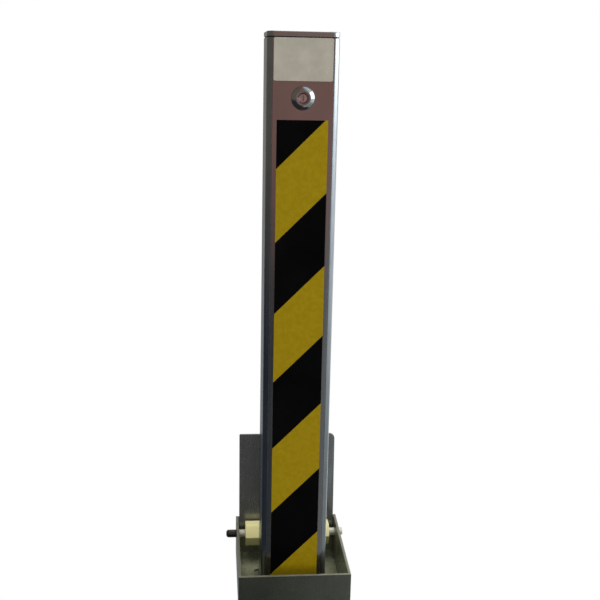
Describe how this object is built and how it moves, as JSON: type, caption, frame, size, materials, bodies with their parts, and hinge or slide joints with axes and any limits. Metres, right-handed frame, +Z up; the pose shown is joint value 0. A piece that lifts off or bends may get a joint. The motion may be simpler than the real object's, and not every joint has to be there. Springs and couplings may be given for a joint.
{
  "type": "driveway security bollard",
  "caption": "Retractable driveway bollard: square key-locked post with hazard banding that slides into a ground sleeve under a tray with a hinged lid.",
  "frame": {"origin": "centre of the base plate's underside, on the post's axis", "axes": "+Z up along the post, -Y towards the lock face, +X to the right seen from the lock face"},
  "size_m": [0.1379, 0.1535, 1.2824],
  "materials": {
    "tray_steel": "satin",
    "lid_steel": "satin",
    "sleeve_steel": "galvanised",
    "pad_nylon": "matte",
    "foot_nylon": "matte",
    "screw_steel": "zinc",
    "buffer_rubber": "matte",
    "gasket_rubber": "matte",
    "pin_steel": "zinc",
    "knuckle_brass": "turned",
    "post_alu": "anodised satin",
    "strip_alu": "anodised satin",
    "cap_alu": "anodised satin",
    "label_alu": "matt",
    "film_yellow": "reflective",
    "band_black": "printed gloss",
    "lock_chrome": "polished",
    "plug_metal": "polished",
    "rod_alu": "mill"
  },
  "bodies": {
    "ground_unit": {"tray": "tray_steel", "sleeve": "sleeve_steel", "base_plate": "sleeve_steel", "anchor_lugs": "sleeve_steel", "keeper_pockets": "sleeve_steel", "guide_pads": "pad_nylon", "pad_screws": "screw_steel", "landing_buffer": "buffer_rubber", "hinge_pin": "pin_steel"},
    "lid": {"lid_plate": "lid_steel", "lid_knuckles": "knuckle_brass", "knuckle_screws": "screw_steel"},
    "post": {"post_profile": "post_alu", "face_strip": "strip_alu", "top_cap": "cap_alu", "cap_gasket": "gasket_rubber", "cap_screws": "screw_steel", "label_plate": "label_alu", "hazard_film": "film_yellow", "hazard_bands": "band_black", "lock_housing": "lock_chrome", "lock_nut": "pin_steel", "post_foot": "foot_nylon", "foot_screws": "screw_steel", "rod_guides": "pad_nylon", "guide_screws": "screw_steel"},
    "lock_core": {"lock_plug": "plug_metal", "lock_cam": "pin_steel", "cam_screw": "screw_steel"},
    "pull_rod": {"pull_rod": "rod_alu"},
    "latch_bolt": {"latch_bolt": "pin_steel"}
  },
  "joints": [
    {"name": "post_slide", "type": "slide", "parent": "ground_unit", "child": "post", "axis": [0, 0, 1], "range_m": [-0.5628, 0]},
    {"name": "lid_hinge", "type": "hinge", "parent": "ground_unit", "child": "lid", "pos_m": [0, 0.0654, 0.7111], "axis": [1, 0, 0], "range_deg": [0, 23]},
    {"name": "lock_turn", "type": "hinge", "parent": "post", "child": "lock_core", "pos_m": [0, -0.03, 1.2206], "axis": [0, -1, 0], "range_deg": [0, 90]},
    {"name": "rod_lift", "type": "slide", "parent": "post", "child": "pull_rod", "axis": [0, 0, 1], "range_m": [0, 0.01697]},
    {"name": "bolt_throw", "type": "slide", "parent": "post", "child": "latch_bolt", "axis": [1, 0, 0], "range_m": [0, 0.017]}
  ],
  "couplings": [
    {"joint": "lock_turn", "follows": "rod_lift", "rad_per_m": 92.56},
    {"joint": "bolt_throw", "follows": "rod_lift", "ratio": 1}
  ]
}
